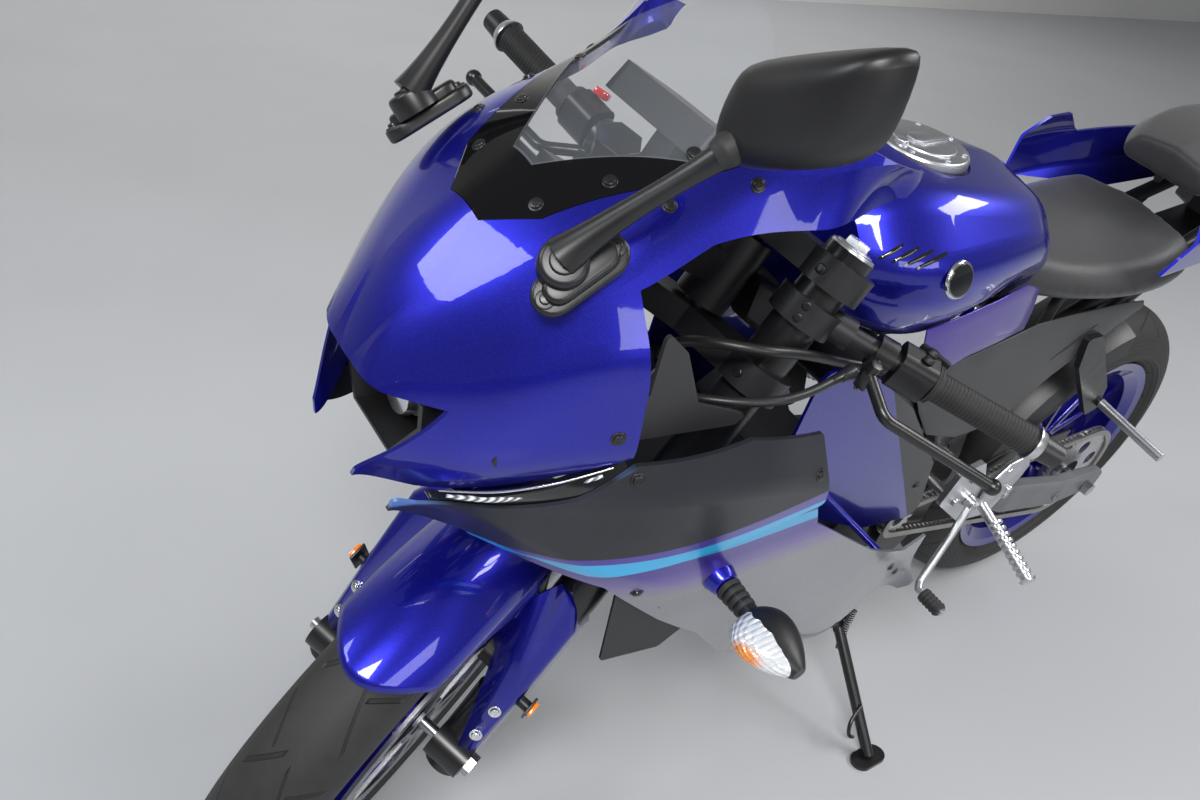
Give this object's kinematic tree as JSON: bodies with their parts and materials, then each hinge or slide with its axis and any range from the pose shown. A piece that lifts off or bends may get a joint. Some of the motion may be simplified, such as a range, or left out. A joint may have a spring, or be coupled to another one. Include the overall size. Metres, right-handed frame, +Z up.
{
  "type": "sport motorcycle",
  "caption": "Small faired sport motorcycle leaning on its side stand, with wheels, steering, stand and filler lid that move.",
  "frame": {"origin": "centre of the bounding box at floor level, with both tyres and the side stand's foot on the floor", "axes": "+X towards the front of the machine, +Z up, +Y to the machine's left, the side its stand is on"},
  "size_m": [2.0005, 0.6834, 1.2146],
  "materials": {
    "black_metal": "satin",
    "black_plastic": "matte",
    "blue_paint": "gloss",
    "blue_wheel": "gloss",
    "clear": "clear",
    "dark_casting": "satin",
    "grey_metal": "satin",
    "lens": "clear",
    "purple_paint": "gloss",
    "red_lens": "gloss",
    "rubber": "matte",
    "silver_metal": "satin",
    "steel": "brushed",
    "tyre": "matte",
    "vinyl": "matte"
  },
  "bodies": {
    "frame": {"chain": "steel", "front_sprocket": "steel", "swingarm": "grey_metal", "rear_axle": "steel", "rear_caliper": "black_metal", "main_frame": "black_metal", "swingarm_bolt": "steel", "engine": "dark_casting", "radiator": "black_metal", "exhaust": "black_metal", "upper_cowl": "blue_paint", "windscreen": "clear", "wing_panels": "black_plastic", "side_cowls": "purple_paint", "running_lamps": "lens", "inner_panels": "black_plastic", "side_panels": "blue_paint", "nose_duct": "black_plastic", "headlamp": "lens", "mirrors": "black_plastic", "front_indicators": "lens", "cowl_stay": "black_metal", "dashboard": "black_plastic", "fuel_tank": "blue_paint", "rider_seat": "vinyl", "pillion_seat": "vinyl", "tail_cowl": "blue_paint", "tail_lamp": "red_lens", "plate_holder": "black_plastic", "rear_indicators": "lens", "rear_mudguard": "black_plastic", "footrests": "silver_metal", "shift_lever": "silver_metal", "brake_pedal": "silver_metal"},
    "steering": {"fork_tubes": "black_metal", "fork_legs": "steel", "front_axle": "steel", "upper_yoke": "black_metal", "lower_yoke": "black_metal", "clip_ons": "black_metal", "grips": "rubber", "switches": "black_plastic", "levers": "silver_metal", "front_mudguard": "blue_paint", "fork_guards": "blue_paint", "front_caliper": "black_metal"},
    "front_wheel": {"front_tyre": "tyre", "front_rim": "blue_wheel", "front_disc": "steel"},
    "rear_wheel": {"rear_tyre": "tyre", "rear_rim": "blue_wheel", "rear_disc": "steel", "rear_sprocket": "steel"},
    "side_stand": {"side_stand": "black_metal"},
    "fuel_cap": {"fuel_cap": "silver_metal"}
  },
  "joints": [
    {"name": "steering", "type": "hinge", "parent": "frame", "child": "steering", "pos_m": [0.41778, 0.02746, 0.82888], "axis": [-0.4338, 0.1565, 0.8873], "range_deg": [-56, 0]},
    {"name": "front_wheel_spin", "type": "hinge", "parent": "steering", "child": "front_wheel", "pos_m": [0.72741, -0.04834, 0.28008], "axis": [-0.423, 0.8342, -0.3539], "continuous": true},
    {"name": "rear_wheel_spin", "type": "hinge", "parent": "frame", "child": "rear_wheel", "pos_m": [-0.59284, -0.06399, 0.31029], "axis": [0, 0.9848, -0.1736], "continuous": true},
    {"name": "side_stand_fold", "type": "hinge", "parent": "frame", "child": "side_stand", "pos_m": [-0.01847, 0.01871, 0.16884], "axis": [0.0156, 0.7229, 0.6907], "range_deg": [0, 92]},
    {"name": "fuel_cap_lift", "type": "hinge", "parent": "frame", "child": "fuel_cap", "pos_m": [0.12354, 0.05007, 0.95715], "axis": [0, -0.9848, 0.1736], "range_deg": [0, 90]}
  ]
}
